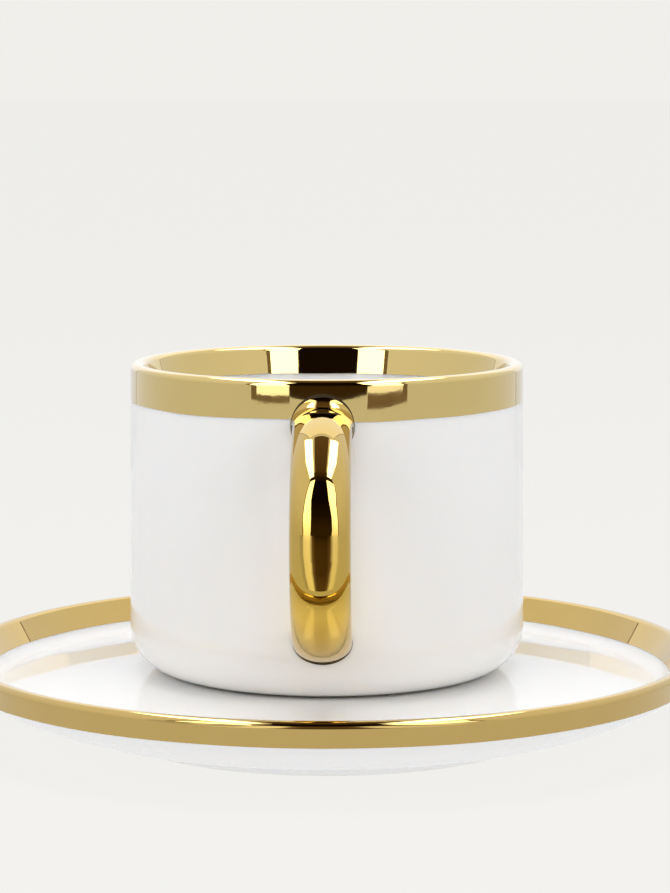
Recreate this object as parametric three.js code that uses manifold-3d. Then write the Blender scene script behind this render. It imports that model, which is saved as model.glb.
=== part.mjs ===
// Porcelain cup and saucer with gilded rims and a gilded ring handle.
// Millimetres, +Z up. The origin is the middle of the saucer's foot, on the table top.
// The handle points along -Y.

import * as THREE from 'three';
import { mergeVertices } from 'three/addons/utils/BufferGeometryUtils.js';
import Module from 'manifold-3d';

// Cup sizes
const cupRimRadius = 40; // outside of the lip
const cupHeight = 64.4; // foot to lip
const cupFlare = 0.5; // the wall is this much wider at its lower end than at the lip
const cupWall = 4.2; // wall thickness at its lower end
const cupLipThickness = 2.6; // wall thickness at the lip, rounded over
const cupLipTaper = 1.6; // the gilded inside flares this much towards the lip
const cupCornerRadius = 9; // outside corner between wall and base
const cupInnerCornerRadius = 8;
const cupBaseThickness = 4.5;
const cupFootHeight = 1.4; // the body stands this far off the saucer
const cupFootWidth = 3;
const cupFootInset = 4.5; // from the outside corner's start in to the foot ring
const cupFootRecess = 1.2; // hollow inside the foot ring
const cupBandOutside = 7.75; // depth of the gilding below the lip
const cupBandInside = 6;

// Handle sizes
const handleSpacing = 42; // between the middles of the two roots
const handleTopDrop = 8.9; // from the lip down to the middle of the upper root
const handleReach = 21.6; // from the wall out to the middle of the grip
const handleSetBack = 10.5; // the curve's centre lies this far inside the wall
const handleRise = 1.3; // the grip's middle is this much higher than the middle of the roots
const handleWidth = 11.5;
const handleThickness = 7.8;
const handleRootLength = 4; // stretch at the wall in which the sections turn parallel to it
const upperRootFlare = 2.4; // fillet above and below the upper root
const lowerRootFlare = 0.3; // and the lower root
const handleRootSpread = 0.17; // share of a fillet that also shows at the sides of its root

// Saucer sizes
const saucerRadius = 75.75;
const saucerHeight = 17.4;
const seatLevel = 11.8; // flat middle where the cup stands
const seatMargin = 6; // flat stretch outside the cup's foot
const seatBlend = 8; // width of the soft bend from the seat to the falling floor
const floorAngle = THREE.MathUtils.degToRad(2.4); // the floor falls outwards
const coveWidth = 4.6; // soft bend from the floor into the rim
const rimAngle = THREE.MathUtils.degToRad(56); // inside slope of the rim
const saucerLipRadius = 1.45;
const saucerBandOutside = 4.8; // height of the gilding on the outer edge
const saucerBandInside = 5.1; // length of the gilding down the inside slope
const saucerFootRadius = 43.6; // outside of the foot ring
const saucerFootWidth = 3.4;
const saucerFootHeight = 1.2;
const saucerFootTaper = 1.2; // the foot ring is this much wider at its upper end
const saucerFootRecess = 5.8; // hollow inside the foot ring
const saucerRecessBlend = 4; // sloped wall of that hollow
const undersideFootAngle = THREE.MathUtils.degToRad(14); // slope of the underside beside the foot
const undersideRimAngle = THREE.MathUtils.degToRad(34); // and below the rim

// Finish and seams
const gildingThickness = 0.35;
const rootGap = 0.3; // seam between the handle's roots and the wall

// Mesh fineness
const turnSegments = 60; // a multiple of 4 keeps the outline even on both axes
const arcSteps = 3;
const handleRings = 36;
const handleRingCrowding = 1.6; // above 1 draws the rings closer together towards the roots
const handleSides = 20;

// Levels and radii worked out from the sizes
const bodyBottom = cupFootHeight;
const cornerCentreRadius = cupRimRadius + cupFlare - cupCornerRadius;
const cornerCentreLevel = bodyBottom + cupCornerRadius;
const cupFootOuter = cornerCentreRadius - cupFootInset;
const cupFootInner = cupFootOuter - cupFootWidth;
const cupFloorLevel = bodyBottom + cupBaseThickness;
const cupLipRadius = cupLipThickness / 2;
const cupLipCentre = cupHeight - cupLipRadius;
const cupBandBottom = cupHeight - cupBandOutside;
const cupBandInnerBottom = cupHeight - cupBandInside;
const seatRadius = cupFootOuter + seatMargin;

const porcelain = new THREE.MeshStandardMaterial({ color: 0xf3f1ec, roughness: 0.12, metalness: 0 });
const gilding = new THREE.MeshStandardMaterial({ color: 0xcbb06a, roughness: 0.08, metalness: 1 });

// Turns a closed (radius, height) outline about the Z axis.
function turned(points) {
  return new THREE.LatheGeometry(points, turnSegments).rotateX(Math.PI / 2);
}

// Points of a path. A straight piece gives its ends, and a curve the steps that it needs.
function pointsOf(path) {
  return path.getPoints(arcSteps);
}

function named(name, geometry, material) {
  const mesh = new THREE.Mesh(geometry, material);
  mesh.name = name;
  return mesh;
}

// Outside radius of the cup's wall at a height above its foot
function wallRadius(level) {
  const fraction = (cupHeight - level) / (cupHeight - cornerCentreLevel);
  return cupRimRadius + cupFlare * fraction;
}

// Inside radius of the cup's wall at a height above its foot, below the flare at the lip
function boreRadius(level) {
  const fraction = (cupBandInnerBottom - level) / (cupBandInnerBottom - cornerCentreLevel);
  const atBand = cupRimRadius - cupLipThickness - cupLipTaper;
  const atBase = cupRimRadius + cupFlare - cupWall;
  return THREE.MathUtils.lerp(atBand, atBase, fraction);
}

// The cup's lip between the two lower edges of its gilding, moved into the wall by an inset
function cupLip(inset) {
  const lip = new THREE.Path();
  lip.moveTo(wallRadius(cupBandBottom) - inset, cupBandBottom);
  lip.lineTo(cupRimRadius - inset, cupLipCentre);
  lip.absarc(cupRimRadius - cupLipRadius, cupLipCentre, cupLipRadius - inset, 0, Math.PI, false);
  lip.lineTo(boreRadius(cupBandInnerBottom) + inset, cupBandInnerBottom);
  return pointsOf(lip);
}

// Underside of the cup, from the axis over the foot ring and round the corner to the wall
function cupUnderside() {
  const under = new THREE.Path();
  under.moveTo(0, cupFootRecess);
  under.lineTo(cupFootInner - cupFootRecess, cupFootRecess);
  under.lineTo(cupFootInner, 0);
  under.lineTo(cupFootOuter, 0);
  under.lineTo(cupFootOuter, bodyBottom);
  under.absarc(cornerCentreRadius, cornerCentreLevel, cupCornerRadius, -Math.PI / 2, 0, false);
  under.lineTo(wallRadius(cupBandBottom), cupBandBottom);
  return pointsOf(under);
}

// Inside of the cup, from the lower edge of the gilding down to the middle of the floor
function cupInside() {
  const cornerLevel = cupFloorLevel + cupInnerCornerRadius;
  const cornerRadius = boreRadius(cornerLevel) - cupInnerCornerRadius;
  const inside = new THREE.Path();
  inside.moveTo(boreRadius(cupBandInnerBottom), cupBandInnerBottom);
  inside.lineTo(cornerRadius + cupInnerCornerRadius, cornerLevel);
  inside.absarc(cornerRadius, cornerLevel, cupInnerCornerRadius, 0, -Math.PI / 2, true);
  inside.lineTo(0, cupFloorLevel);
  return pointsOf(inside);
}

function cupBody() {
  return turned([...cupUnderside(), ...cupLip(gildingThickness), ...cupInside()]);
}

function cupRimBand() {
  const outer = cupLip(0);
  return turned([...outer, ...cupLip(gildingThickness).reverse(), outer[0]]);
}

// Plain plug with the cup's outside, swollen by a gap, that trims the handle's roots to the wall
function cupPlug(gap) {
  const plug = new THREE.Path();
  plug.moveTo(0, bodyBottom - gap);
  plug.lineTo(cornerCentreRadius, bodyBottom - gap);
  plug.absarc(cornerCentreRadius, cornerCentreLevel, cupCornerRadius + gap, -Math.PI / 2, 0, false);
  plug.lineTo(cupRimRadius + gap, cupHeight + gap);
  plug.lineTo(0, cupHeight + gap);
  return turned(pointsOf(plug));
}

// Middle line of the handle: the part of an ellipse that lies outside the wall. The ellipse's centre is
// inside the wall, so the two roots spread apart. The angle is nought at the middle of the grip.
const handleCentreLevel = cupHeight - handleTopDrop - handleSpacing / 2;
const handleWallRadius = wallRadius(handleCentreLevel);
const handleOutAxis = handleReach + handleSetBack;
const handleRootAngle = Math.acos(handleSetBack / handleOutAxis);
const handleUpAxis = handleSpacing / 2 / Math.sin(handleRootAngle);
const handleRiseAxis = handleRise / (1 - Math.cos(handleRootAngle));

function handlePoint(angle) {
  const out = handleWallRadius - handleSetBack + handleOutAxis * Math.cos(angle);
  const rise = handleRiseAxis * (Math.cos(angle) - Math.cos(handleRootAngle));
  const up = handleCentreLevel + handleUpAxis * Math.sin(angle) + rise;
  return new THREE.Vector3(0, -out, up);
}

// Direction square to the middle line, away from the finger hole
function handleOutward(angle) {
  const out = handleUpAxis * Math.cos(angle) - handleRiseAxis * Math.sin(angle);
  const up = handleOutAxis * Math.sin(angle);
  return new THREE.Vector3(0, -out, up);
}

// One oval ring of the handle. Towards the wall it turns parallel to the wall, and swells along a
// quarter of a circle, which makes the fillet of the root. A depth moves it into the wall.
function handleRing(angle, depth) {
  const centre = handlePoint(angle);
  const fromWall = Math.max(-centre.y - handleWallRadius - rootGap, 0);
  const flare = angle > 0 ? upperRootFlare : lowerRootFlare;
  const nearness = Math.max(1 - fromWall / flare, 0);
  const swell = 1 - Math.sqrt(1 - nearness ** 2);
  const halfWidth = handleWidth / 2 + handleRootSpread * flare * swell;
  const halfThickness = handleThickness / 2 + flare * swell;
  const outward = handleOutward(angle);
  outward.y *= Math.min(fromWall / handleRootLength, 1);
  outward.normalize();
  centre.y += depth;
  const ring = [];
  for (let side = 0; side < handleSides; side += 1) {
    const turn = (side / handleSides) * 2 * Math.PI;
    const point = centre.clone().addScaledVector(outward, halfThickness * Math.cos(turn));
    point.x += halfWidth * Math.sin(turn);
    ring.push(point);
  }
  return ring;
}

// All the rings of the handle. The first and last lie inside the wall and are trimmed away.
function handleRingsInOrder() {
  const rings = [handleRing(handleRootAngle, cupWall)];
  for (let step = 0; step <= handleRings; step += 1) {
    const share = 1 - (2 * step) / handleRings;
    const crowded = 1 - (1 - Math.abs(share)) ** handleRingCrowding;
    rings.push(handleRing(handleRootAngle * Math.sign(share) * crowded, 0));
  }
  rings.push(handleRing(-handleRootAngle, cupWall));
  return rings;
}

// Closed skin over a row of rings, with a fan at each end
function loft(rings) {
  const sides = rings[0].length;
  const positions = rings.flat().flatMap((point) => point.toArray());
  const triangles = [];
  for (let row = 0; row < rings.length - 1; row += 1) {
    for (let side = 0; side < sides; side += 1) {
      const here = row * sides + side;
      const beside = row * sides + ((side + 1) % sides);
      triangles.push(here, here + sides, beside, beside, here + sides, beside + sides);
    }
  }
  const last = (rings.length - 1) * sides;
  for (let side = 1; side < sides - 1; side += 1) {
    triangles.push(0, side, side + 1);
    triangles.push(last, last + side + 1, last + side);
  }
  const geometry = new THREE.BufferGeometry();
  geometry.setAttribute('position', new THREE.Float32BufferAttribute(positions, 3));
  geometry.setIndex(triangles);
  return geometry;
}

const wasm = await Module();
wasm.setup();

function solidFrom(geometry) {
  const bare = geometry.clone();
  bare.deleteAttribute('normal');
  bare.deleteAttribute('uv');
  const merged = mergeVertices(bare);
  const corners = merged.index.array;
  const kept = [];
  for (let start = 0; start < corners.length; start += 3) {
    const [first, second, third] = corners.slice(start, start + 3);
    // A turned outline has slivers with no area where it meets the axis.
    if (first !== second && second !== third && third !== first) {
      kept.push(first, second, third);
    }
  }
  const vertProperties = new Float32Array(merged.attributes.position.array);
  const triVerts = new Uint32Array(kept);
  return new wasm.Manifold(new wasm.Mesh({ numProp: 3, vertProperties, triVerts }));
}

function geometryFrom(solid) {
  const mesh = solid.getMesh();
  const geometry = new THREE.BufferGeometry();
  geometry.setAttribute('position', new THREE.Float32BufferAttribute(mesh.vertProperties, 3));
  geometry.setIndex([...mesh.triVerts]);
  return geometry;
}

function ringHandle() {
  const blank = solidFrom(loft(handleRingsInOrder()));
  return geometryFrom(blank.subtract(solidFrom(cupPlug(rootGap))));
}

// The saucer's lip between the two lower edges of its gilding, moved into the body by an inset
const rimNormalAngle = Math.PI / 2 + rimAngle;
const saucerLipCentre = new THREE.Vector2(saucerRadius - saucerLipRadius, saucerHeight - saucerLipRadius);

function rimSlopePoint(distance, inset) {
  const normal = new THREE.Vector2(Math.cos(rimNormalAngle), Math.sin(rimNormalAngle));
  const downhill = new THREE.Vector2(-normal.y, normal.x);
  const start = saucerLipCentre.clone().addScaledVector(normal, saucerLipRadius - inset);
  return start.addScaledVector(downhill, distance);
}

function saucerLip(inset) {
  const lip = new THREE.Path();
  const lipRadius = saucerLipRadius - inset;
  const bandEnd = rimSlopePoint(saucerBandInside, inset);
  lip.moveTo(saucerRadius - inset, saucerHeight - saucerBandOutside);
  lip.lineTo(saucerRadius - inset, saucerLipCentre.y);
  lip.absarc(saucerLipCentre.x, saucerLipCentre.y, lipRadius, 0, rimNormalAngle, false);
  lip.lineTo(bandEnd.x, bandEnd.y);
  return pointsOf(lip);
}

// Underside of the saucer, from the axis over the foot ring and out to the gilded edge
function saucerUnderside() {
  const footInner = saucerFootRadius - saucerFootWidth;
  const rim = new THREE.Vector2(saucerRadius, saucerHeight - saucerBandOutside);
  const foot = new THREE.Vector2(saucerFootRadius + saucerFootTaper, saucerFootHeight);
  const reach = (rim.x - foot.x) / 3;
  const under = new THREE.Path();
  under.moveTo(0, saucerFootRecess);
  under.lineTo(footInner - saucerRecessBlend, saucerFootRecess);
  under.quadraticCurveTo(footInner, saucerFootRecess, footInner, 0);
  under.lineTo(saucerFootRadius, 0);
  under.lineTo(foot.x, foot.y);
  under.bezierCurveTo(
    foot.x + reach, foot.y + reach * Math.tan(undersideFootAngle),
    rim.x - reach, rim.y - reach * Math.tan(undersideRimAngle),
    rim.x, rim.y,
  );
  return pointsOf(under);
}

// Level of the falling floor outside the seat
function floorLevel(radius) {
  return seatLevel - (radius - seatRadius - seatBlend / 2) * Math.tan(floorAngle);
}

// Top of the saucer, from the gilding's lower edge through the cove and over the floor to the axis
function saucerTop() {
  const bandEnd = rimSlopePoint(saucerBandInside, 0);
  const slope = Math.tan(rimAngle);
  const fall = Math.tan(floorAngle);
  const cornerRadius = bandEnd.x - (bandEnd.y - floorLevel(bandEnd.x)) / (slope + fall);
  const coveEnd = cornerRadius - coveWidth;
  const blendEnd = seatRadius + seatBlend;
  const top = new THREE.Path();
  top.moveTo(bandEnd.x, bandEnd.y);
  top.quadraticCurveTo(cornerRadius, floorLevel(cornerRadius), coveEnd, floorLevel(coveEnd));
  top.lineTo(blendEnd, floorLevel(blendEnd));
  top.quadraticCurveTo(seatRadius + seatBlend / 2, seatLevel, seatRadius, seatLevel);
  top.lineTo(0, seatLevel);
  return pointsOf(top);
}

function saucerBody() {
  return turned([...saucerUnderside(), ...saucerLip(gildingThickness), ...saucerTop()]);
}

function saucerRimBand() {
  const outer = saucerLip(0);
  return turned([...outer, ...saucerLip(gildingThickness).reverse(), outer[0]]);
}

const saucer = new THREE.Group();
saucer.add(named('saucer_body', saucerBody(), porcelain));
saucer.add(named('saucer_rim_band', saucerRimBand(), gilding));

const cup = new THREE.Group();
cup.position.z = seatLevel;
cup.add(named('cup_body', cupBody(), porcelain));
cup.add(named('cup_rim_band', cupRimBand(), gilding));
cup.add(named('handle', ringHandle(), gilding));

const cupAndSaucer = new THREE.Group();
cupAndSaucer.add(saucer, cup);

export default cupAndSaucer;
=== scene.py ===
"""Looks of a porcelain cup and saucer with gilded rims, with a plain studio stage and a camera.

Sizes are in millimetres, turned to metres where a mesh is made. Z is up, the origin is the middle of
the saucer's foot on the table, and the handle points along -Y.
"""

import math

import bpy
from mathutils import Matrix, Vector


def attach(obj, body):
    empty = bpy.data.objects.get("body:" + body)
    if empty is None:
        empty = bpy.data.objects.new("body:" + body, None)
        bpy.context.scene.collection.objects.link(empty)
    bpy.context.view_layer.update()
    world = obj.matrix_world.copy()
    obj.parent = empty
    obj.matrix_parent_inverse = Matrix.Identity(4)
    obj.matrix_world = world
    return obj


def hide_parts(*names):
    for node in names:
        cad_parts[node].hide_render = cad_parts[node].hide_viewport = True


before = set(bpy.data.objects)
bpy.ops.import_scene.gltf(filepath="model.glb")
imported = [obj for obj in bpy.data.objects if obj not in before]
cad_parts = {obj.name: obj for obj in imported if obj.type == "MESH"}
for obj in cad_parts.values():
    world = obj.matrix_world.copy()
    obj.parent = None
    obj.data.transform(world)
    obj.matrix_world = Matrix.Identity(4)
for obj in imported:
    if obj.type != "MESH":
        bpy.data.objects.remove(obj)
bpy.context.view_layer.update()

MM = 0.001

# Cup, measured from the underside of its foot
CUP_RIM_RADIUS = 40.0
CUP_HEIGHT = 64.4
CUP_FLARE = 0.5
CUP_WALL = 4.2
CUP_LIP_THICKNESS = 2.6
CUP_LIP_TAPER = 1.6
CUP_CORNER_RADIUS = 9.0
CUP_INNER_CORNER_RADIUS = 8.0
CUP_BASE_THICKNESS = 4.5
CUP_FOOT_HEIGHT = 1.4
CUP_FOOT_WIDTH = 3.0
CUP_FOOT_OUTER = 27.0
CUP_FOOT_RECESS = 1.2
CUP_BAND_OUTSIDE = 7.75
CUP_BAND_INSIDE = 6.0
CUP_LIP_BLEND = 40.0

# Handle, the part of an ellipse that lies outside the wall
HANDLE_SPACING = 42.0
HANDLE_TOP_DROP = 8.9
HANDLE_REACH = 21.6
HANDLE_SET_BACK = 10.5
HANDLE_RISE = 1.3
HANDLE_WIDTH = 11.5
HANDLE_THICKNESS = 7.8
HANDLE_ROOT_LENGTH = 4.0
UPPER_ROOT_FLARE = 2.4
LOWER_ROOT_FLARE = 0.3
HANDLE_ROOT_SPREAD = 0.17
HANDLE_ROOT_LINE = 0.12  # reach of the painted crease shade from the wall

# Saucer, measured from the table
SAUCER_RADIUS = 75.75
SAUCER_HEIGHT = 17.4
SEAT_LEVEL = 11.8
SEAT_RADIUS = 37.0
FLOOR_FALL = math.radians(2.4)
COVE_RADIUS = 4.2
RIM_ANGLE = math.radians(56)
SAUCER_LIP_RADIUS = 1.45
SAUCER_BAND_OUTSIDE = 4.8
SAUCER_BAND_INSIDE = 5.1
SAUCER_FOOT_RADIUS = 43.6
SAUCER_FOOT_WIDTH = 3.4
SAUCER_FOOT_HEIGHT = 1.2
SAUCER_FOOT_TAPER = 1.2
SAUCER_FOOT_RECESS = 5.8
SAUCER_RECESS_ROUNDING = 3.5
UNDERSIDE_FOOT_ANGLE = math.radians(14)
UNDERSIDE_RIM_ANGLE = math.radians(34)
BELLY_ROUNDING = 55.0

# Well in the saucer for the cup's foot. The ring round it comes up to the cup, so that only a hairline
# shows between them.
WELL_RADIUS = 28.5
WELL_RING_RADIUS = 35.0
WELL_RING_RISE = 1.3
WELL_RING_ROUNDING = 40.0
WELL_RING_EDGE = 62.0
WELL_RING_EDGE_ROUNDING = 90.0

EDGE_ROUNDING = 0.4
BARE_FOOT_LEVEL = 0.3

# Gilding, and how far its edges waver
GILDING_FILM = 0.06
CUP_OUTSIDE_WAVER = 0.2
CUP_INSIDE_WAVER = 0.3
SAUCER_OUTSIDE_WAVER = 0.12
SAUCER_INSIDE_WAVER = 0.2
HANDLE_DIP = 0.42
HANDLE_DIP_SPREAD = 0.5

# Materials
GLAZE_IOR = 1.5
NOISE_LOW = 0.3
NOISE_HIGH = 0.7

# Fineness of the meshes
TURN_SEGMENTS = 180
FILLET_STEPS = 12
HANDLE_STEPS = 96
HANDLE_SIDES = 56
SHARP_EDGE = math.radians(45)

# Photograph's camera: distance from the cup's axis, height over the table, and angles in degrees
CAMERA_DISTANCE = 611.6
CAMERA_HEIGHT = 132.9
CAMERA_AZIMUTH = 1.2
CAMERA_PITCH = 6.924
CAMERA_YAW = 0.156
CAMERA_LENS = 121.35

# Light levels, where 1 is white
BACKDROP = (0.871, 0.863, 0.831)
SURROUNDINGS = (0.86, 0.86, 0.86)
OVERHEAD = (1.1, 1.1, 1.12)
FILL = (0.53, 0.535, 0.55)
FLOOR_COLOUR = 0.06
FLOOR_GLOW = 0.95
PANEL_LEVEL = 4.2
ROOF_LEVEL = 8.0
FRONT_LAMP_LEVEL = 0.178
OVERHEAD_LAMP_LEVEL = 0.45
DARK_TINT = (1.0, 0.52, 0.08)
TINTED_BELOW = 0.6

# What the polished table mirrors in front of the handle, as levels at headings in degrees from a point
TABLE_POINT = -65
TABLE_LEVEL = 18.5
TABLE_SHADES = ((-62, 0.82), (-51, 0.62), (-46, 1.45), (-29, 1.6), (-21, 0.28), (-13, 0.11),
                (18, 0.095), (28, 0.2), (38, 1.35), (49, 1.35), (55, 0.95), (62, 0.86))


def right_of(heading):
    return Vector((heading.y, -heading.x))


def rounded(corners):
    """Smooth outline through (radius, level, fillet) corners, as (point, outward normal) pairs.

    The solid lies on the left of the way that the outline runs.
    """
    points = [Vector(corner[:2]) for corner in corners]
    first_heading = (points[1] - points[0]).normalized()
    last_heading = (points[-1] - points[-2]).normalized()
    outline = [(points[0], right_of(first_heading))]
    for index in range(1, len(corners) - 1):
        way_in = (points[index] - points[index - 1]).normalized()
        way_out = (points[index + 1] - points[index]).normalized()
        turn = math.atan2(way_in.cross(way_out), way_in.dot(way_out))
        side = math.copysign(1.0, turn)
        fillet = corners[index][2]
        start = points[index] - way_in * fillet * math.tan(abs(turn) / 2)
        centre = start - right_of(way_in) * fillet * side
        for step in range(FILLET_STEPS + 1):
            heading = Matrix.Rotation(turn * step / FILLET_STEPS, 2) @ way_in
            normal = right_of(heading)
            outline.append((centre + normal * fillet * side, normal))
    outline.append((points[-1], right_of(last_heading)))
    return outline


def mesh_object(name, vertices, faces, normals=None):
    """Object of a smooth mesh given in millimetres."""
    mesh = bpy.data.meshes.new(name)
    mesh.from_pydata([Vector(vertex) * MM for vertex in vertices], [], faces)
    mesh.shade_smooth()
    if normals:
        mesh.normals_split_custom_set_from_vertices(normals)
    piece = bpy.data.objects.new(name, mesh)
    bpy.context.scene.collection.objects.link(piece)
    return piece


def turned(name, outline_at, base, closed=False):
    """Turns an outline about the Z axis, raised by a base level.

    outline_at gives the outline at an angle, so that an edge may waver round the turn. A point on the
    axis is shared by all the segments.
    """
    vertices = []
    normals = []
    rings = []
    for segment in range(TURN_SEGMENTS):
        angle = 2 * math.pi * segment / TURN_SEGMENTS
        cosine, sine = math.cos(angle), math.sin(angle)
        ring = []
        for step, (point, normal) in enumerate(outline_at(angle)):
            if segment and point.x == 0:
                ring.append(rings[0][step])
                continue
            ring.append(len(vertices))
            vertices.append((point.x * cosine, point.x * sine, point.y + base))
            normals.append((normal.x * cosine, normal.x * sine, normal.y))
        rings.append(ring)
    faces = []
    for segment, here in enumerate(rings):
        there = rings[(segment + 1) % TURN_SEGMENTS]
        steps = len(here) if closed else len(here) - 1
        for step in range(steps):
            after = (step + 1) % len(here)
            corners = (here[step], there[step], there[after], here[after])
            faces.append(tuple(dict.fromkeys(corners)))
    return mesh_object(name, vertices, faces, normals)


def wall_radius(level):
    """Outside radius of the cup's wall at a level above its foot."""
    corner_level = CUP_FOOT_HEIGHT + CUP_CORNER_RADIUS
    return CUP_RIM_RADIUS + CUP_FLARE * (CUP_HEIGHT - level) / (CUP_HEIGHT - corner_level)


def cup_lip(inset, outer_level, inner_level):
    """Corners of the lip between two levels on the outside and inside, sunk by an inset."""
    lip_radius = CUP_LIP_THICKNESS / 2 - inset
    inner_radius = CUP_RIM_RADIUS - CUP_LIP_THICKNESS
    taper = CUP_LIP_TAPER * (CUP_HEIGHT - inner_level) / CUP_BAND_INSIDE
    return [
        (wall_radius(outer_level) - inset, outer_level, 0),
        (CUP_RIM_RADIUS - inset, CUP_HEIGHT - inset, lip_radius),
        (inner_radius + inset, CUP_HEIGHT - inset, lip_radius),
        (inner_radius - taper + inset, inner_level, 0),
    ]


def cup_outline():
    body_bottom = CUP_FOOT_HEIGHT
    foot_inner = CUP_FOOT_OUTER - CUP_FOOT_WIDTH
    floor_level = body_bottom + CUP_BASE_THICKNESS
    bore_radius = CUP_RIM_RADIUS + CUP_FLARE - CUP_WALL
    lip = cup_lip(GILDING_FILM, CUP_HEIGHT - CUP_BAND_OUTSIDE, CUP_HEIGHT - CUP_BAND_INSIDE)
    band_radius, band_level, _ = lip[-1]
    return rounded([
        (0, CUP_FOOT_RECESS, 0),
        (foot_inner - CUP_FOOT_RECESS, CUP_FOOT_RECESS, EDGE_ROUNDING),
        (foot_inner, 0, EDGE_ROUNDING),
        (CUP_FOOT_OUTER, 0, EDGE_ROUNDING),
        (CUP_FOOT_OUTER, body_bottom, EDGE_ROUNDING),
        (CUP_RIM_RADIUS + CUP_FLARE, body_bottom, CUP_CORNER_RADIUS),
        lip[1],
        lip[2],
        (band_radius, band_level, CUP_LIP_BLEND),
        (bore_radius, floor_level, CUP_INNER_CORNER_RADIUS),
        (0, floor_level, 0),
    ])


def saucer_lip_corner(inset):
    """Where the outer edge and inside slope of the saucer's rim would meet, with the lip's fillet."""
    lip_radius = SAUCER_LIP_RADIUS - inset
    turn = math.pi / 2 + RIM_ANGLE
    centre_radius = SAUCER_RADIUS - SAUCER_LIP_RADIUS
    centre_level = SAUCER_HEIGHT - SAUCER_LIP_RADIUS
    return (centre_radius + lip_radius, centre_level + lip_radius * math.tan(turn / 2), lip_radius)


def rim_slope_point(distance, inset):
    """Point on the inside slope of the saucer's rim, a distance down from the lip's fillet."""
    normal = Vector((-math.sin(RIM_ANGLE), math.cos(RIM_ANGLE)))
    downhill = Vector((-math.cos(RIM_ANGLE), -math.sin(RIM_ANGLE)))
    centre = Vector((SAUCER_RADIUS - SAUCER_LIP_RADIUS, SAUCER_HEIGHT - SAUCER_LIP_RADIUS))
    return centre + normal * (SAUCER_LIP_RADIUS - inset) + downhill * distance


def meeting_point(first, first_slope, second, second_slope):
    """Where two sloped lines through two points cross."""
    rise = second.y - first.y + first_slope * first.x - second_slope * second.x
    radius = rise / (first_slope - second_slope)
    return radius, first.y + first_slope * (radius - first.x)


def saucer_outline():
    foot_inner = SAUCER_FOOT_RADIUS - SAUCER_FOOT_WIDTH
    foot_edge = Vector((SAUCER_FOOT_RADIUS + SAUCER_FOOT_TAPER, SAUCER_FOOT_HEIGHT))
    rim_edge = Vector((SAUCER_RADIUS - GILDING_FILM, SAUCER_HEIGHT - SAUCER_BAND_OUTSIDE))
    belly = meeting_point(
        foot_edge, math.tan(UNDERSIDE_FOOT_ANGLE), rim_edge, math.tan(UNDERSIDE_RIM_ANGLE))
    cove = meeting_point(
        Vector((SEAT_RADIUS, SEAT_LEVEL)), -math.tan(FLOOR_FALL),
        rim_slope_point(SAUCER_BAND_INSIDE, GILDING_FILM), math.tan(RIM_ANGLE))
    ring_level = SEAT_LEVEL + WELL_RING_RISE
    ring_edge_level = SEAT_LEVEL - (WELL_RING_EDGE - SEAT_RADIUS) * math.tan(FLOOR_FALL)
    return rounded([
        (0, SAUCER_FOOT_RECESS, 0),
        (foot_inner - EDGE_ROUNDING, SAUCER_FOOT_RECESS, SAUCER_RECESS_ROUNDING),
        (foot_inner, 0, EDGE_ROUNDING),
        (SAUCER_FOOT_RADIUS, 0, EDGE_ROUNDING),
        (*foot_edge, EDGE_ROUNDING),
        (*belly, BELLY_ROUNDING),
        (*rim_edge, EDGE_ROUNDING),
        saucer_lip_corner(GILDING_FILM),
        (*cove, COVE_RADIUS),
        (WELL_RING_EDGE, ring_edge_level, WELL_RING_EDGE_ROUNDING),
        (WELL_RING_RADIUS, ring_level, WELL_RING_ROUNDING),
        (WELL_RADIUS + WELL_RING_RISE / 2, ring_level, EDGE_ROUNDING),
        (WELL_RADIUS - WELL_RING_RISE / 2, SEAT_LEVEL, EDGE_ROUNDING),
        (0, SEAT_LEVEL, 0),
    ])


def waver(angle, height, seed):
    """Uneven edge of gilding laid on by brush."""
    slow = math.sin(2 * angle + seed)
    middling = math.sin(5 * angle + 2.3 * seed)
    quick = math.sin(13 * angle + 3.7 * seed)
    return height * (0.5 * slow + 0.35 * middling + 0.15 * quick)


def handle_dip(angle):
    """The brush ran higher on the left of the handle and lower on the right."""
    from_handle = angle - 1.5 * math.pi
    return -HANDLE_DIP * math.sin(5 * from_handle) * math.exp(-(from_handle / HANDLE_DIP_SPREAD) ** 2)


def shell(outer, inner):
    """Closed outline of a thin film from its outer and inner skins."""
    turned_back = [(point, -normal) for point, normal in reversed(inner)]
    return outer + turned_back


def cup_gilding_outline(angle):
    outer_waver = waver(angle, CUP_OUTSIDE_WAVER, 1.0) + handle_dip(angle)
    outer_level = CUP_HEIGHT - CUP_BAND_OUTSIDE + outer_waver
    inner_level = CUP_HEIGHT - CUP_BAND_INSIDE + waver(angle, CUP_INSIDE_WAVER, 4.0)
    outer = rounded(cup_lip(0, outer_level, inner_level))
    inner = rounded(cup_lip(GILDING_FILM, outer_level, inner_level))
    return shell(outer, inner)


def saucer_gilding_outline(angle):
    outer_level = SAUCER_HEIGHT - SAUCER_BAND_OUTSIDE + waver(angle, SAUCER_OUTSIDE_WAVER, 2.0)
    inner_reach = SAUCER_BAND_INSIDE + waver(angle, SAUCER_INSIDE_WAVER, 5.0)
    skins = []
    for inset in (0, GILDING_FILM):
        skins.append(rounded([
            (SAUCER_RADIUS - inset, outer_level, 0),
            saucer_lip_corner(inset),
            (*rim_slope_point(inner_reach, inset), 0),
        ]))
    return shell(*skins)


HANDLE_LEVEL = CUP_HEIGHT - HANDLE_TOP_DROP - HANDLE_SPACING / 2
HANDLE_ROOT_RADIUS = wall_radius(HANDLE_LEVEL)
HANDLE_OUT_AXIS = HANDLE_REACH + HANDLE_SET_BACK
HANDLE_ROOT_ANGLE = math.acos(HANDLE_SET_BACK / HANDLE_OUT_AXIS)
HANDLE_UP_AXIS = HANDLE_SPACING / 2 / math.sin(HANDLE_ROOT_ANGLE)
HANDLE_RISE_AXIS = HANDLE_RISE / (1 - math.cos(HANDLE_ROOT_ANGLE))


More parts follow.
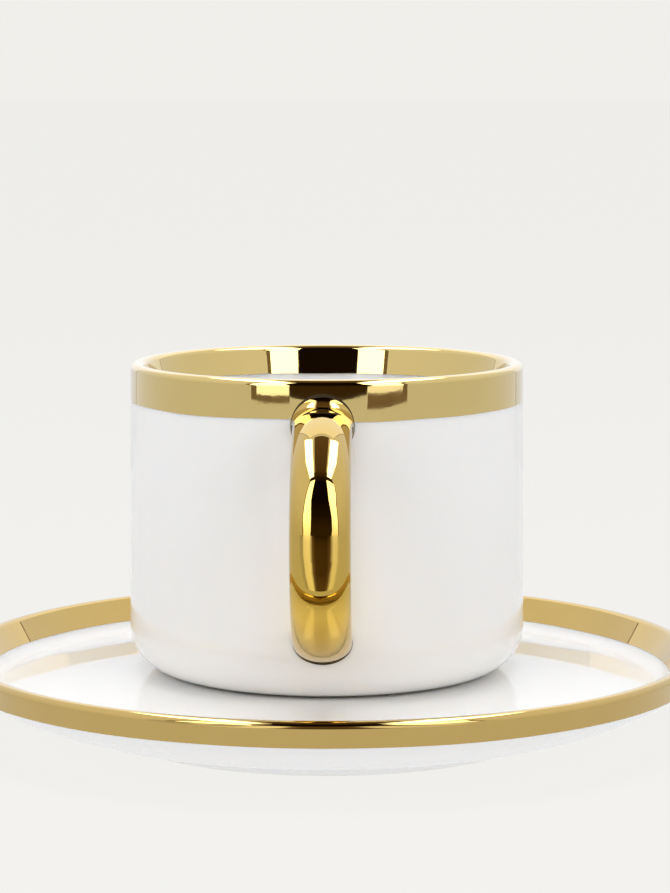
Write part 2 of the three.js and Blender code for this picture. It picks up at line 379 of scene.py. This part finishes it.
def handle_angle(clear):
    """Angle of the handle's upper half at a distance from the wall."""
    return math.acos((HANDLE_SET_BACK + clear) / HANDLE_OUT_AXIS)


def fillet_angles(flare):
    """Angles through a root's fillet, from the wall out."""
    steps = [math.pi / 2 * step / FILLET_STEPS for step in range(FILLET_STEPS)]
    return [handle_angle(flare * (1 - math.cos(step))) for step in steps]


def handle_angles():
    """Angles of all the handle's rings, from the upper root to the lower."""
    top = handle_angle(UPPER_ROOT_FLARE)
    bottom = -handle_angle(LOWER_ROOT_FLARE)
    grip = [top + (bottom - top) * step / HANDLE_STEPS for step in range(HANDLE_STEPS + 1)]
    lower_fillet = [-angle for angle in reversed(fillet_angles(LOWER_ROOT_FLARE))]
    return fillet_angles(UPPER_ROOT_FLARE) + grip + lower_fillet


def handle_ring(angle, depth=0):
    """Oval ring of the handle, at an angle that is nought in the middle of the grip.

    Towards the wall it turns parallel to the wall, and swells into the root's fillet. A depth moves it
    into the wall.
    """
    cosine, sine = math.cos(angle), math.sin(angle)
    clear = HANDLE_OUT_AXIS * cosine - HANDLE_SET_BACK
    rise = HANDLE_RISE_AXIS * (cosine - math.cos(HANDLE_ROOT_ANGLE))
    level = HANDLE_LEVEL + HANDLE_UP_AXIS * sine + rise
    lean = min(clear / HANDLE_ROOT_LENGTH, 1)
    outward_y = (HANDLE_RISE_AXIS * sine - HANDLE_UP_AXIS * cosine) * lean
    outward = Vector((0, outward_y, HANDLE_OUT_AXIS * sine)).normalized()
    flare = UPPER_ROOT_FLARE if angle > 0 else LOWER_ROOT_FLARE
    nearness = max(1 - clear / flare, 0)
    swell = flare * (1 - math.sqrt(1 - nearness ** 2))
    half_width = HANDLE_WIDTH / 2 + HANDLE_ROOT_SPREAD * swell
    half_thickness = HANDLE_THICKNESS / 2 + swell
    ring = []
    for side in range(HANDLE_SIDES):
        turn = 2 * math.pi * side / HANDLE_SIDES
        across = half_width * math.sin(turn)
        point = Vector((across, -HANDLE_ROOT_RADIUS - clear, level))
        point += outward * half_thickness * math.cos(turn)
        wall = math.sqrt(wall_radius(point.z) ** 2 - across ** 2)
        point.y += (HANDLE_ROOT_RADIUS - wall) * nearness + depth
        ring.append(point)
    return ring


def gilded_handle():
    """Ring handle with both ends sunk in the wall."""
    buried = CUP_WALL / 2
    angles = handle_angles()
    rings = [handle_ring(angles[0], buried)]
    rings += [handle_ring(angle) for angle in angles]
    rings.append(handle_ring(angles[-1], buried))
    vertices = [point + Vector((0, 0, SEAT_LEVEL)) for ring in rings for point in ring]
    faces = []
    for row in range(len(rings) - 1):
        for side in range(HANDLE_SIDES):
            beside = (side + 1) % HANDLE_SIDES
            here = row * HANDLE_SIDES
            there = here + HANDLE_SIDES
            faces.append((here + side, there + side, there + beside, here + beside))
    last = len(vertices) - HANDLE_SIDES
    faces.append(tuple(range(HANDLE_SIDES)))
    faces.append(tuple(reversed(range(last, last + HANDLE_SIDES))))
    handle = mesh_object("gilded_handle", vertices, faces)
    handle.data.set_sharp_from_angle(angle=SHARP_EDGE)
    return handle


class Nodes:
    """Short way to add and join the nodes of a material."""

    def __init__(self, tree):
        self.tree = tree
        tree.nodes.clear()

    def add(self, kind, **inputs):
        node = self.tree.nodes.new(kind)
        for name, value in inputs.items():
            node.inputs[name].default_value = value
        return node

    def join(self, output, target):
        self.tree.links.new(output, target)


def new_material(name):
    material = bpy.data.materials.new(name)
    material.use_nodes = True
    nodes = Nodes(material.node_tree)
    shader = nodes.add("ShaderNodeBsdfPrincipled")
    output = nodes.add("ShaderNodeOutputMaterial")
    nodes.join(shader.outputs["BSDF"], output.inputs["Surface"])
    return material, nodes, shader


def noise_in(nodes, size, detail):
    """Noise whose features are about a size in millimetres."""
    position = nodes.add("ShaderNodeTexCoord")
    noise = nodes.add("ShaderNodeTexNoise", Scale=1 / (size * MM), Detail=detail)
    nodes.join(position.outputs["Object"], noise.inputs["Vector"])
    return noise.outputs["Fac"]


def ramp_of(nodes, noise, low, high):
    """Number that runs from low to high as noise goes through its usual range."""
    ramp = nodes.add("ShaderNodeMapRange")
    ramp.inputs["From Min"].default_value = NOISE_LOW
    ramp.inputs["From Max"].default_value = NOISE_HIGH
    ramp.inputs["To Min"].default_value = low
    ramp.inputs["To Max"].default_value = high
    nodes.join(noise, ramp.inputs["Value"])
    return ramp.outputs["Result"]


def colour_between(nodes, factor, low, high):
    """Mix of two colours, each of them a plain colour or another node's output."""
    mix = nodes.tree.nodes.new("ShaderNodeMix")
    mix.data_type = "RGBA"
    for socket, colour in ((mix.inputs["A"], low), (mix.inputs["B"], high)):
        if isinstance(colour, tuple):
            socket.default_value = (*colour, 1)
        else:
            nodes.join(colour, socket)
    nodes.join(factor, mix.inputs["Factor"])
    return mix.outputs["Result"]


def bumped(nodes, shader, height, depth):
    """Unevenness of a depth in millimetres."""
    bump = nodes.add("ShaderNodeBump", Strength=1.0, Distance=depth * MM)
    nodes.join(height, bump.inputs["Height"])
    nodes.join(bump.outputs["Normal"], shader.inputs["Normal"])


def porcelain_material():
    material, nodes, shader = new_material("porcelain")
    shader.inputs["IOR"].default_value = GLAZE_IOR
    shader.inputs["Subsurface Weight"].default_value = 0.7
    shader.inputs["Subsurface Radius"].default_value = (1.0, 0.9, 0.8)
    shader.inputs["Subsurface Scale"].default_value = 1.5 * MM
    cloud = noise_in(nodes, 18, 3)
    colour = colour_between(nodes, cloud, (0.91, 0.905, 0.895), (0.93, 0.926, 0.918))
    nodes.join(colour, shader.inputs["Base Color"])
    nodes.join(ramp_of(nodes, noise_in(nodes, 6, 2), 0.015, 0.035), shader.inputs["Roughness"])
    bumped(nodes, shader, noise_in(nodes, 9, 1), 0.01)
    return material


def bare_porcelain_material():
    material, nodes, shader = new_material("bare_porcelain")
    shader.inputs["IOR"].default_value = GLAZE_IOR
    grain = noise_in(nodes, 0.4, 4)
    colour = colour_between(nodes, grain, (0.70, 0.66, 0.60), (0.80, 0.77, 0.72))
    nodes.join(colour, shader.inputs["Base Color"])
    nodes.join(ramp_of(nodes, grain, 0.6, 0.8), shader.inputs["Roughness"])
    bumped(nodes, shader, grain, 0.02)
    return material


def polish_gold(nodes, shader):
    """Mirror polish of fired gold, a little uneven."""
    nodes.join(ramp_of(nodes, noise_in(nodes, 3, 4), 0.015, 0.035), shader.inputs["Roughness"])
    bumped(nodes, shader, noise_in(nodes, 1.6, 2), 0.0012)


def gilding_material(name, thin, thick):
    """Fired gold film of uneven thickness under a clear glaze."""
    material, nodes, shader = new_material(name)
    shader.inputs["Metallic"].default_value = 1.0
    shader.inputs["Coat Weight"].default_value = 1.0
    nodes.join(colour_between(nodes, noise_in(nodes, 7, 3), thin, thick), shader.inputs["Base Color"])
    polish_gold(nodes, shader)
    return material


def height_in(nodes, low, high):
    """Share of the way up between two heights in millimetres."""
    position = nodes.add("ShaderNodeTexCoord")
    split = nodes.add("ShaderNodeSeparateXYZ")
    nodes.join(position.outputs["Object"], split.inputs["Vector"])
    share = nodes.add("ShaderNodeMapRange")
    share.interpolation_type = "SMOOTHSTEP"
    share.inputs["From Min"].default_value = low * MM
    share.inputs["From Max"].default_value = high * MM
    nodes.join(split.outputs["Z"], share.inputs["Value"])
    return share.outputs["Result"]


def handle_gilding_material():
    """Gold film that is warmer towards the lower root, where the glaze over it thins out."""
    material, nodes, shader = new_material("handle_gilding")
    shader.inputs["Metallic"].default_value = 1.0
    streaks = noise_in(nodes, 5, 3)
    grip = colour_between(nodes, streaks, (0.51, 0.34, 0.06), (0.55, 0.375, 0.08))
    root = colour_between(nodes, streaks, (0.63, 0.41, 0.07), (0.71, 0.47, 0.09))
    nodes.join(colour_between(nodes, height_in(nodes, 33, 39), root, grip), shader.inputs["Base Color"])
    nodes.join(height_in(nodes, 36, 62), shader.inputs["Coat Weight"])
    polish_gold(nodes, shader)
    return material


def painted_root_shade_material():
    """Dark brown line painted round the handle's roots: painted shade of the crease where the handle
    meets the wall.
    """
    material, nodes, shader = new_material("painted_root_shade")
    shader.inputs["Specular IOR Level"].default_value = 0.2
    # Uneven darkness of the painted crease shade
    root_shade_mottle = noise_in(nodes, 2, 3)
    colour = colour_between(nodes, root_shade_mottle, (0.02, 0.012, 0.004), (0.05, 0.032, 0.01))
    nodes.join(colour, shader.inputs["Base Color"])
    nodes.join(ramp_of(nodes, root_shade_mottle, 0.45, 0.6), shader.inputs["Roughness"])
    return material


def paint(piece, materials, choose=None):
    """Gives a piece its materials. choose picks a material's number from the middle of a face."""
    for material in materials:
        piece.data.materials.append(material)
    if choose:
        for polygon in piece.data.polygons:
            polygon.material_index = choose(polygon.center / MM)


def place(piece, body, slot, *nodes):
    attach(piece, body)
    if nodes:
        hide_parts(*nodes)


# Faces of the handle next to the wall get the painted shade of the crease
def at_handle_root(middle):
    clear = math.hypot(middle.x, middle.y) - wall_radius(middle.z - SEAT_LEVEL)
    return int(clear < HANDLE_ROOT_LINE)


def build_cup(porcelain, bare, gilding, handle_gilding, painted_root_shade):
    outline = cup_outline()
    body = turned("cup_porcelain", lambda angle: outline, SEAT_LEVEL)
    bare_below = SEAT_LEVEL + BARE_FOOT_LEVEL
    paint(body, [porcelain, bare], lambda middle: int(middle.z < bare_below))
    place(body, "cup", "porcelain", "cup_body")
    band = turned("cup_gilding", cup_gilding_outline, SEAT_LEVEL, closed=True)
    paint(band, [gilding])
    place(band, "cup", "gilding", "cup_rim_band")
    handle = gilded_handle()
    # The handle's faces next to the wall carry the painted crease shade
    paint(handle, [handle_gilding, painted_root_shade], at_handle_root)
    place(handle, "cup", "gilding", "handle")


def build_saucer(porcelain, bare, gilding):
    outline = saucer_outline()
    body = turned("saucer_porcelain", lambda angle: outline, 0)
    paint(body, [porcelain, bare], lambda middle: int(middle.z < BARE_FOOT_LEVEL))
    place(body, "saucer", "porcelain", "saucer_body")
    band = turned("saucer_gilding", saucer_gilding_outline, 0, closed=True)
    paint(band, [gilding])
    place(band, "saucer", "gilding", "saucer_rim_band")


def glow_material():
    """Light whose level is kept in the points of a mesh, and which is warmer where it is dark."""
    material = bpy.data.materials.new("studio_glow")
    material.use_nodes = True
    nodes = Nodes(material.node_tree)
    level = nodes.add("ShaderNodeAttribute")
    level.attribute_name = "level"
    brightness = nodes.add("ShaderNodeMapRange")
    brightness.inputs["From Max"].default_value = TINTED_BELOW
    nodes.join(level.outputs["Fac"], brightness.inputs["Value"])
    glow = nodes.add("ShaderNodeEmission")
    tint = colour_between(nodes, brightness.outputs["Result"], DARK_TINT, (1, 1, 1))
    nodes.join(tint, glow.inputs["Color"])
    nodes.join(level.outputs["Fac"], glow.inputs["Strength"])
    output = nodes.add("ShaderNodeOutputMaterial")
    nodes.join(glow.outputs["Emission"], output.inputs["Surface"])
    return material


def studio_card(name, glow, rows, levels):
    """Card made of rows of points with a light level each. It shows only in reflections."""
    columns = len(rows[0])
    faces = []
    for row in range(len(rows) - 1):
        for column in range(columns - 1):
            here = row * columns + column
            there = here + columns
            faces.append((here, here + 1, there + 1, there))
    card = mesh_object(name, [point for row in rows for point in row], faces)
    attribute = card.data.attributes.new("level", "FLOAT", "POINT")
    attribute.data.foreach_set("value", [level for row in levels for level in row])
    card.data.materials.append(glow)
    card.visible_camera = False
    card.visible_diffuse = False
    card.visible_transmission = False
    card.visible_shadow = False


def upright_card(name, glow, depth, rows, levels):
    """Upright card at a depth, from rows of (across, height) points with one level a row."""
    points = [[(across, depth, height) for across, height in row] for row in rows]
    studio_card(name, glow, points, [[level] * len(row) for row, level in zip(rows, levels)])


def rows_between(foot, heights, left, right):
    """Rows of a card that stands on a foot row of two points, with its left and right edges above."""
    above = [((start, height), (end, height)) for height, start, end in zip(heights, left, right)]
    return [foot] + above


def rectangle(left, right, foot, top):
    """Rows of a plain card."""
    return [((left, foot), (right, foot)), ((left, top), (right, top))]


def build_front(glow):
    """Two bright panels in dark frames, the camera's dark slit between them and a dark beam above."""
    depth = -205
    heights = (85, 130, 212, 290, 430)
    slit_left = (-66, -70, -88, -88, -86)
    slit_right = (95, 97, 82, 86, 94)
    panel_left = (-152, -178, -180, -177, -168)
    panel_right = (189, 192, 190, 232, 250)
    frame_width = 20
    frame_left = [edge - frame_width for edge in panel_left]
    frame_right = [edge + frame_width for edge in panel_right]
    left_shades = [share * PANEL_LEVEL for share in (0.47, 0.6, 0.85, 1, 1, 1)]
    right_shades = [share * PANEL_LEVEL for share in (0.36, 0.55, 0.8, 1, 1, 1)]
    frame_shades = [0.25] * 6
    slit_shades = (0.05, 0.05, 0.02, 0.007, 0.007, 0.007)
    upright_card("left_panel", glow, depth, rows_between(
        ((-150, 54.7), (-68, 58.2)), heights, panel_left, slit_left), left_shades)
    upright_card("right_panel", glow, depth, rows_between(
        ((84, 58.2), (186, 53.8)), heights, slit_right, panel_right), right_shades)
    upright_card("left_frame", glow, depth - 2, rows_between(
        ((-170, 52), (-68, 56)), heights, frame_left, slit_left), frame_shades)
    upright_card("right_frame", glow, depth - 2, rows_between(
        ((84, 54), (206, 49.3)), heights, slit_right, frame_right), frame_shades)
    upright_card("camera_slit", glow, depth - 3, rows_between(
        ((-68, 57.5), (84, 57.5)), heights, slit_left, slit_right), slit_shades)
    upright_card("front_beam", glow, depth - 5, rectangle(-200, 250, heights[-1], 700), [0.04] * 2)


def build_roof(glow):
    """Two bright panels overhead with a gap between them that darkens towards the front."""
    level = 400
    left = [
        [(-155, -165, level), (-92, -165, level)],
        [(-200, -20, level), (-94, -20, level)],
        [(-200, 165, level), (-98, 100, level)],
    ]
    right = [
        [(90, -165, level), (160, -165, level)],
        [(92, -20, level), (212, -20, level)],
        [(94, 98, level), (205, 155, level)],
    ]
    for name, rows in (("left_roof_panel", left), ("right_roof_panel", right)):
        studio_card(name, glow, rows, [[ROOF_LEVEL, ROOF_LEVEL]] * len(rows))
    shades = ((-260, 0.02), (-190, 0.02), (-120, 0.125), (110, 0.175))
    gap = [[(-75, depth, level + 5), (75, depth, level + 5)] for depth, shade in shades]
    studio_card("roof_gap", glow, gap, [[shade, shade] for depth, shade in shades])


def build_backdrop(glow):
    """Pale cloth behind, brighter towards its top, with a dark edge."""
    shades = ((0.5, 0.80), (50, 0.82), (100, 1.05), (200, 1.2), (350, 1.5), (900, 1.6))
    depth = 400
    half = 315
    edge = half + 8
    foot = shades[0][0]
    top = shades[-1][0] + 8
    rows = [((-half, height), (half, height)) for height, level in shades]
    upright_card("backdrop", glow, depth, rows, [level for height, level in shades])
    upright_card("backdrop_edge", glow, depth + 2, rectangle(-edge, edge, foot, top), [0.3] * 2)


def build_table_sheen(glow):
    """Images of the panels and the slit in the table, from clear of the saucer's rim outwards."""
    clear_of_rim = 78
    farthest = 150
    rows = []
    levels = []
    for share, fade in ((0, 0.08), (0.15, 0.0), (1, 0.0)):
        row = []
        for heading, shade in TABLE_SHADES:
            turn = math.radians(heading)
            sideways = TABLE_POINT * math.sin(turn)
            inner = TABLE_POINT * math.cos(turn) + math.sqrt(clear_of_rim ** 2 - sideways ** 2)
            reach = inner + (farthest - inner) * share
            row.append((reach * math.sin(turn), TABLE_POINT - reach * math.cos(turn), TABLE_LEVEL))
        rows.append(row)
        levels.append([shade + (SURROUNDINGS[0] - shade) * fade for heading, shade in TABLE_SHADES])
    studio_card("table_sheen", glow, rows, levels)


def build_panel_feet(glow):
    """The same images standing up in front, with more contrast towards the panels' feet."""
    front = -120
    rows = []
    levels = []
    for height, contrast in ((TABLE_LEVEL, 1.0), (38, 1.05), (46, 1.1), (50, 1.2), (56, 1.5)):
        row = []
        for heading, shade in TABLE_SHADES:
            across = (TABLE_POINT - front) * math.tan(math.radians(heading))
            row.append((across, front, height))
        rows.append(row)
        levels.append([shade ** contrast for heading, shade in TABLE_SHADES])
    studio_card("panel_feet", glow, rows, levels)


def build_studio():
    """Tent that the gilding reflects."""
    glow = glow_material()
    build_front(glow)
    build_roof(glow)
    build_backdrop(glow)
    build_table_sheen(glow)
    build_panel_feet(glow)


def soft_lamp(name, position, target, size, level):
    """Square lamp that gives a level of light at its target, where 1 lights white to white."""
    data = bpy.data.lights.new(name, "AREA")
    data.size = size * MM
    way = (Vector(target) - Vector(position)) * MM
    data.energy = level * (math.pi * way.length) ** 2
    lamp = bpy.data.objects.new(name, data)
    lamp.location = Vector(position) * MM
    lamp.rotation_euler = way.to_track_quat("-Z", "Y").to_euler()
    lamp.visible_camera = False
    lamp.visible_glossy = False
    bpy.context.scene.collection.objects.link(lamp)


def build_lamps():
    for name, side in (("left", -1), ("right", 1)):
        position = (side * 478, -374, 330)
        soft_lamp(f"{name}_front_lamp", position, (0, -40, 20), 240, FRONT_LAMP_LEVEL)
    soft_lamp("overhead_lamp", (0, -88, 1010), (0, 0, 12), 700, OVERHEAD_LAMP_LEVEL)


def build_floor():
    half = 20000
    floor = mesh_object("floor", [
        (-half, -half, 0), (half, -half, 0), (half, half, 0), (-half, half, 0),
    ], [(0, 1, 2, 3)])
    material, nodes, shader = new_material("floor")
    shader.inputs["Base Color"].default_value = (FLOOR_COLOUR, FLOOR_COLOUR, FLOOR_COLOUR, 1)
    shader.inputs["Roughness"].default_value = 1.0
    shader.inputs["Specular IOR Level"].default_value = 0.0
    path = nodes.add("ShaderNodeLightPath")
    glow = colour_between(nodes, path.outputs["Is Camera Ray"], SURROUNDINGS, BACKDROP)
    nodes.join(glow, shader.inputs["Emission Color"])
    shader.inputs["Emission Strength"].default_value = FLOOR_GLOW
    floor.data.materials.append(material)


def build_world():
    """Even pale surroundings, brighter overhead in reflections and dimmer as a fill light."""
    world = bpy.data.worlds.new("studio")
    world.use_nodes = True
    bpy.context.scene.world = world
    nodes = Nodes(world.node_tree)
    direction = nodes.add("ShaderNodeTexCoord")
    split = nodes.add("ShaderNodeSeparateXYZ")
    nodes.join(direction.outputs["Generated"], split.inputs["Vector"])
    height = nodes.add("ShaderNodeMapRange")
    height.inputs["From Max"].default_value = 0.6
    nodes.join(split.outputs["Z"], height.inputs["Value"])
    path = nodes.add("ShaderNodeLightPath")
    mirrored = colour_between(nodes, height.outputs["Result"], SURROUNDINGS, OVERHEAD)
    unseen = colour_between(nodes, path.outputs["Is Glossy Ray"], FILL, mirrored)
    sky = colour_between(nodes, path.outputs["Is Camera Ray"], unseen, BACKDROP)
    background = nodes.add("ShaderNodeBackground")
    nodes.join(sky, background.inputs["Color"])
    output = nodes.add("ShaderNodeOutputWorld")
    nodes.join(background.outputs["Background"], output.inputs["Surface"])


def build_camera():
    data = bpy.data.cameras.new("camera")
    data.lens = CAMERA_LENS
    data.clip_end = 100
    camera = bpy.data.objects.new("camera", data)
    around = math.radians(CAMERA_AZIMUTH)
    camera.location = Vector((
        CAMERA_DISTANCE * math.sin(around), -CAMERA_DISTANCE * math.cos(around), CAMERA_HEIGHT)) * MM
    camera.rotation_euler = (
        math.radians(90 - CAMERA_PITCH), 0, math.radians(CAMERA_AZIMUTH - CAMERA_YAW))
    bpy.context.scene.collection.objects.link(camera)
    bpy.context.scene.camera = camera


porcelain = porcelain_material()
bare_porcelain = bare_porcelain_material()
pale_gilding = gilding_material("pale_gilding", (0.60, 0.45, 0.145), (0.635, 0.48, 0.175))
deep_gilding = gilding_material("deep_gilding", (0.51, 0.345, 0.085), (0.55, 0.38, 0.105))
build_cup(porcelain, bare_porcelain, pale_gilding, handle_gilding_material(), painted_root_shade_material())
build_saucer(porcelain, bare_porcelain, deep_gilding)
build_floor()
build_studio()
build_lamps()
build_world()
build_camera()
bpy.context.scene.view_settings.view_transform = "Standard"
